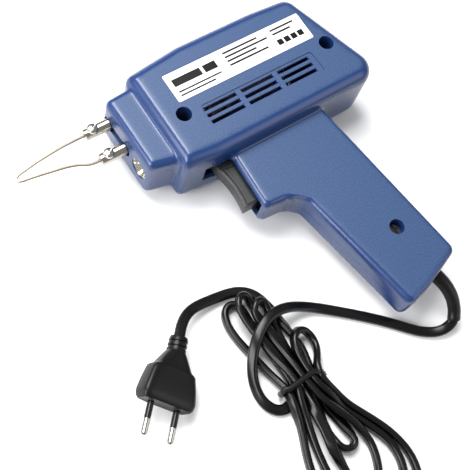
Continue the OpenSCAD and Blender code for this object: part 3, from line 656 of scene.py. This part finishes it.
def run_together(name, wall, voxel, soft):
    bm = bmesh.new()
    rounded_form(bm, lambda inset: body_outline(-4 - 0.2 * inset), BODY_HALF, 9, wall)
    rounded_form(bm, lambda inset: nose_outline(2 if not wall else 12), NOSE_HALF, 5, wall)
    rounded_form(bm, lambda inset: GRIP_SHAFT, GRIP_HALF, 4, wall)
    rounded_form(bm, lambda inset: GRIP_HEAD, GRIP_HALF, 4, wall)
    finger_corner(bm, wall)
    bmesh.ops.recalc_face_normals(bm, faces=bm.faces[:])
    rough = bpy.data.objects.new(name, to_mesh(name, bm))
    scene.collection.objects.link(rough)
    remesh = rough.modifiers.new("remesh", "REMESH")
    remesh.mode = "VOXEL"
    remesh.voxel_size = voxel * MM
    seen = rough.evaluated_get(bpy.context.evaluated_depsgraph_get())
    whole = bmesh.new()
    whole.from_mesh(bpy.data.meshes.new_from_object(seen))
    bpy.data.objects.remove(rough)
    bmesh.ops.scale(whole, verts=whole.verts[:], vec=(1 / MM, 1 / MM, 1 / MM))
    for _ in range(soft):
        bmesh.ops.smooth_vert(whole, verts=whole.verts[:], factor=0.5, use_axis_x=True, use_axis_y=True,
                              use_axis_z=True)
    print(name, len(whole.faces), "faces")
    return whole


outer_form = run_together("outer_form", 0.0, 0.9, 5)
inner_form = run_together("inner_form", WALL, 1.6, 1)
bmesh.ops.reverse_faces(inner_form, faces=inner_form.faces[:])

# %% [markdown]
# Putting the smaller form inside the larger one, turned inside out, makes the wall without any cutting.
# Each half is then what lies on its side of the middle plane, less a hair, so that a fine seam shows.

# %% Split into halves
SEAM = 0.08
both = bpy.data.meshes.new("both_forms")
outer_form.to_mesh(both)
whole = bmesh.new()
whole.from_mesh(both)
inner_form.to_mesh(both)
whole.from_mesh(both)
whole.to_mesh(both)


def half_shell(side):
    bm = bmesh.new()
    bm.from_mesh(both)
    bmesh.ops.bisect_plane(bm, geom=bm.verts[:] + bm.edges[:] + bm.faces[:], dist=1e-4,
                           plane_co=(0, 0, side * SEAM), plane_no=(0, 0, -side), clear_outer=True)
    rim_edges = [e for e in bm.edges if e.is_boundary]
    bmesh.ops.triangle_fill(bm, edges=rim_edges, use_beauty=True, normal=(0, 0, -side))
    mesh = bpy.data.meshes.new("half_shell")
    bm.to_mesh(mesh)
    bm.free()
    return mesh


print("both forms:", len(both.polygons), "faces, seam:", 2 * SEAM, "mm")

# %% [markdown]
# ## What is cut into the halves
# Vents, screw wells, the label's recess, the openings for tubes, lamp, trigger and lead. The vents get a
# small flare at the surface, as a moulded slot has, so that their edges catch the light.

# %% Cutters
def tool(*makers):
    bm = bmesh.new()
    for make in makers:
        make(bm)
    bmesh.ops.recalc_face_normals(bm, faces=bm.faces[:])
    mesh = bpy.data.meshes.new("tool")
    bm.to_mesh(mesh)
    bm.free()
    return mesh


def box_outline(x, y, wide, high, corner=0.5):
    return (arc(x + corner, y + corner, corner, 180, 270, 3)
            + arc(x + wide - corner, y + corner, corner, 270, 360, 3)
            + arc(x + wide - corner, y + high - corner, corner, 0, 90, 3)
            + arc(x + corner, y + high - corner, corner, 90, 180, 3))


def flared(outline, low, top, flare, side):
    """A straight cut from low to top whose last step opens out by `flare`."""
    def make(bm):
        verts = slab(bm, outline, side * low, side * (top - flare))
        upper = [v for v in verts if abs(v.co.z - side * (top - flare)) < 1e-6]
        face = next(f for f in bm.faces if len(f.verts) == len(upper) and all(v in upper for v in f.verts))
        wide = bmesh.ops.extrude_face_region(bm, geom=[face])["geom"]
        bmesh.ops.delete(bm, geom=[face], context="FACES_ONLY")
        ring = [v for v in wide if isinstance(v, bmesh.types.BMVert)]
        centre = sum((v.co for v in ring), Vector()) / len(ring)
        for v in ring:
            v.co.x += flare * 1.3 * (1 if v.co.x > centre.x else -1)
            v.co.y += flare * 1.3 * (1 if v.co.y > centre.y else -1)
            v.co.z = side * (top + flare * 0.3)
    return make


def round_cut(x, y, radius, low, high, axis="Z", turn=0.0):
    def make(bm):
        rod = bmesh.ops.create_cone(bm, cap_ends=True, segments=48, radius1=radius, radius2=radius,
                                    depth=high - low)
        onto = {"X": Matrix.Rotation(pi / 2, 4, "Y"), "Y": Matrix.Rotation(pi / 2, 4, "X"), "Z": Matrix()}[axis]
        middle = (low + high) / 2
        at = (middle, x, y) if axis == "X" else (x, y, middle)
        bmesh.ops.transform(bm, matrix=Matrix.Translation(at) @ Matrix.Rotation(turn, 4, "Z") @ onto,
                            verts=rod["verts"])
    return make


SCREWS = {"front": (12.7, -18, 8, BODY_HALF), "rear": (120, -17.5, 8, BODY_HALF),
          "grip": (89.5, -138, 4.5, GRIP_HALF)}
PANEL = (arc(26, -31.5, 2.5, 180, 270, 5) + arc(105, -31.5, 2.5, 270, 360, 5) + arc(105, -20, 2, 0, 90, 5)
         + arc(26, -20, 2, 90, 180, 5))
PANEL_DEPTH = 0.6
TRIGGER_SLOT = box_outline(11, -84.7, 26, 39.5, 1.2)


def openings(side):
    vents = [flared(box_outline(25 + 27.4 * group, -22 - 4.65 * row, 23.6, 2.2, 0.6), 16,
                    BODY_HALF - PANEL_DEPTH, 0.35, side) for group in range(3) for row in range(3)]
    panel = [lambda bm: slab(bm, PANEL, side * (BODY_HALF - PANEL_DEPTH), side * (BODY_HALF + 2))]
    nose = [round_cut(7.5, 0, 5.15, -23, -15, "X"), round_cut(-11, 0, 5.15, -23, -15, "X"),
            round_cut(-26.5, 0, 6.8, -23, -15, "X")]
    slot = [lambda bm: slab(bm, TRIGGER_SLOT, -7.5, 7.5)]
    between = [lambda bm: slab(bm, box_outline(-23, -11, 8, 18.5), -3.6, 3.6)]
    lead = [round_cut(96.1, -172, 5.6, -8, 8, "Y", radians(14))]
    return [tool(*group) for group in (panel, vents, nose, between, slot, lead)]


def left_half():
    shell = half_shell(1)
    bosses = tool(*[round_cut(x, y, 6.65, z - 2.4, top - 1) for x, y, z, top in SCREWS.values()])
    shell = cut_with(shell, [bosses], "UNION")
    wells = tool(*[round_cut(x, y, 4.85, z, 40) for x, y, z, _ in SCREWS.values()])
    bores = tool(*[round_cut(x, y, 1.9, -1, z + 1) for x, y, z, _ in SCREWS.values()])
    recess = tool(lambda bm: slab(bm, box_outline(14.3, -10.6, 101.4, 20.2, 0.8), BODY_HALF - 0.25,
                                  BODY_HALF + 2))
    return cut_with(shell, [wells, bores, recess] + openings(1))


def right_half():
    shell = half_shell(-1)
    bosses = tool(*[round_cut(x, y, 3.1, 0.5 - top, -0.1) for x, y, _, top in SCREWS.values()])
    return cut_with(cut_with(shell, [bosses], "UNION"), openings(-1))


def seat_half(name, mesh, node):
    bm = bmesh.new()
    bm.from_mesh(mesh)
    bmesh.ops.remove_doubles(bm, verts=bm.verts[:], dist=1e-3)
    on_gun(bm)
    return piece(name, to_mesh(name, bm, 32), "housing", "housing_blue", FINISH["housing_blue"], node)


seat_half("shell_left", left_half(), "housing_left")
seat_half("shell_right", right_half(), "housing_right")

# %% [markdown]
# ## Side label
# A printed film in a shallow recess. The print is only plain bars and squares, so it says nothing.

# %% Label film and its bars
bm = bmesh.new()
slab(bm, box_outline(14.6, -10.3, 100.8, 19.6, 0.8), BODY_HALF - 0.25, BODY_HALF - 0.06)
on_gun(bm)
piece("side_label", to_mesh("side_label", bm, 30), "housing", "label_white", FINISH["label_white"],
      "rating_label")

BARS = [(18, -7.6, 25, 1.1), (18, -5, 31, 1.1), (18, -0.6, 20, 5.2), (40, -0.6, 9, 5.2), (56, 5.2, 26, 1.3),
        (56, 2.2, 32, 1.3), (56, -0.8, 22, 1.3), (56, -3.8, 29, 1.3), (92, 5.2, 18, 1.3), (92, 2.2, 14, 1.3)]
SQUARES = [(92 + 5.2 * i, -5.6, 4, 4) for i in range(4)]
bm = bmesh.new()
for x, y, wide, high in BARS + SQUARES:
    slab(bm, box_outline(x, y, wide, high, 0.3), BODY_HALF - 0.07, BODY_HALF - 0.02)
on_gun(bm)
piece("label_bars", to_mesh("label_bars", bm, 30), "housing", "moulded_black", FINISH["moulded_black"])

# %% [markdown]
# ## Trigger
# A lever with a bowed face for the finger. Its flanks carry a fine groove behind the face and a sunken
# grained panel, which are cut from the slab after its rims are rounded.

# %% Trigger
BOW_X, BOW_Y, BOW_R = -40.6, -66.6, 61
TRIGGER_HALF = 4.5
trigger_outline = (arc(24, -40, 5.6, 150, 0, 12) + [(32.6, -54), (32.6, -62), (36, -62), (36, -70), (31.4, -70),
                   (28.6, -80.6), (19.4, -80.6)] + arc(BOW_X, BOW_Y, BOW_R, -13, 13, 16) + [(18.4, -47)])
bm = bmesh.new()
slab(bm, trigger_outline, -TRIGGER_HALF, TRIGGER_HALF)
bmesh.ops.bevel(bm, geom=rim(bm, -TRIGGER_HALF, TRIGGER_HALF), offset=0.45, affect="EDGES", segments=3,
                profile=0.5, material=-1, clamp_overlap=False)
lever = bpy.data.meshes.new("lever")
bm.to_mesh(lever)
bm.free()
groove = arc(BOW_X, BOW_Y, BOW_R + 1.4, -12, 12, 16) + arc(BOW_X, BOW_Y, BOW_R + 2.4, 12, -12, 16)
flank = arc(BOW_X, BOW_Y, BOW_R + 3.6, -10.2, 12, 12) + [(31.4, -54), (31.4, -65.4), (28.2, -76.4), (27, -78)]
foot_line = box_outline(21.2, -79.9, 7.2, 0.8, 0.2)


def both_flanks(outline, depth):
    return tool(*[lambda bm, s=s: slab(bm, outline, s * (TRIGGER_HALF - depth), s * (TRIGGER_HALF + 1))
                  for s in (-1, 1)])


pin_hole = tool(round_cut(24, -40, 2.05, -6, 6))
sunken = [both_flanks(groove, 0.9), both_flanks(flank, 0.9), both_flanks(foot_line, 0.8)]
lever = cut_with(lever, sunken + [pin_hole])
bm = bmesh.new()
bm.from_mesh(lever)
on_gun(bm)
piece("trigger_lever", to_mesh("trigger_lever", bm, 30), "trigger", "trigger_grey", FINISH["trigger_grey"],
      "trigger")

# %% [markdown]
# ## Tubes and clamp screws
# Both are turned parts, so each is half a profile spun round its axis. The tubes have eased ends and a bore
# for the wire, and each screw has a domed head with a driver slot.

# %% Turned parts
def turned(profile, steps=40):
    bm = bmesh.new()
    points = [bm.verts.new((r, 0, z)) for r, z in profile]
    edges = [bm.edges.new(pair) for pair in zip(points, points[1:])]
    bmesh.ops.spin(bm, geom=points + edges, cent=(0, 0, 0), axis=(0, 0, 1), angle=2 * pi, steps=steps,
                   use_merge=True)
    bmesh.ops.remove_doubles(bm, verts=bm.verts[:], dist=1e-4)
    bmesh.ops.recalc_face_normals(bm, faces=bm.faces[:])
    return bm


TUBE_ROWS = {"upper": 7.5, "lower": -11}
TUBE = [(0, -22), (1.15, -22), (1.15, -37.5), (1.5, -38), (3.2, -38), (3.6, -37.85), (3.75, -37.4),
        (3.75, 96), (0, 96)]
HEAD = [(0, -2.2), (1.7, -2.2), (1.72, 0), (3.1, 0), (3.4, 0.3), (3.4, 1.3), (3.1, 1.9), (2.2, 2.35), (0, 2.6)]
CLAMP_X, CLAMP_Z = -32.5, 3.2
SLOT_TURN = 0.5
for row, y in TUBE_ROWS.items():
    bm = turned(TUBE)
    along_x = Matrix.Translation((0, y, 0)) @ Matrix.Rotation(pi / 2, 4, "Y")
    bmesh.ops.transform(bm, matrix=along_x, verts=bm.verts[:])
    on_gun(bm)
    piece("tube_" + row, to_mesh("tube_" + row, bm, 30), "housing", "tinned_copper", FINISH["tinned_copper"],
          "conductor_" + row)
    head = bpy.data.meshes.new("head")
    turned(HEAD).to_mesh(head)
    slot = tool(lambda bm: slab(bm, box_outline(-5, -0.45, 10, 0.9, 0.1), 1.5, 4))
    bm = bmesh.new()
    bm.from_mesh(cut_with(head, [slot]))
    on_tube = Matrix.Translation((CLAMP_X, y, CLAMP_Z)) @ Matrix.Rotation(SLOT_TURN, 4, "Z")
    bmesh.ops.transform(bm, matrix=on_tube, verts=bm.verts[:])
    on_gun(bm)
    piece("clamp_head_" + row, to_mesh("clamp_head_" + row, bm, 30), "clamp_screw_" + row, "plated_steel",
          FINISH["plated_steel"], "clamp_screw_" + row)

# %% [markdown]
# ## Floor and light
# A plain pale floor and three soft lamps: a broad one overhead, one from the upper left, and a weak fill.

# %% Floor
bm = bmesh.new()
bmesh.ops.create_grid(bm, x_segments=1, y_segments=1, size=1.5)
floor_mesh = bpy.data.meshes.new("floor")
bm.to_mesh(floor_mesh)
bm.free()
floor = bpy.data.objects.new("floor", floor_mesh)
floor_mesh.materials.append(finish("floor_paint", (0.86, 0.86, 0.865), 0.8, 300, 0.02, 0.0001, 0.01))
scene.collection.objects.link(floor)
print("floor:", len(floor_mesh.polygons), "face")

# %% Soft studio light
world = bpy.data.worlds.new("studio")
world.use_nodes = True
world.node_tree.nodes["Background"].inputs["Color"].default_value = (1, 1, 1, 1)
world.node_tree.nodes["Background"].inputs["Strength"].default_value = 0.42
scene.world = world


def soft_lamp(name, place, aim, size, power):
    data = bpy.data.lights.new(name, "AREA")
    data.shape = "SQUARE"
    data.size = size
    data.energy = power
    lamp = bpy.data.objects.new(name, data)
    lamp.location = place
    lamp.rotation_euler = (Vector(aim) - Vector(place)).to_track_quat("-Z", "Y").to_euler()
    scene.collection.objects.link(lamp)
    print(name, power, "W")


soft_lamp("overhead", (-0.1, 0.45, 0.9), (0, 0, 0), 0.6, 17)
soft_lamp("left", (-0.8, 0.1, 0.45), (0, 0, 0), 0.5, 8)
soft_lamp("fill", (0.5, -0.7, 0.5), (0, 0, 0), 0.6, 2)
scene.view_settings.view_transform = "Standard"

# %% Node count
print("nodes at hand-over:", len(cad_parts))
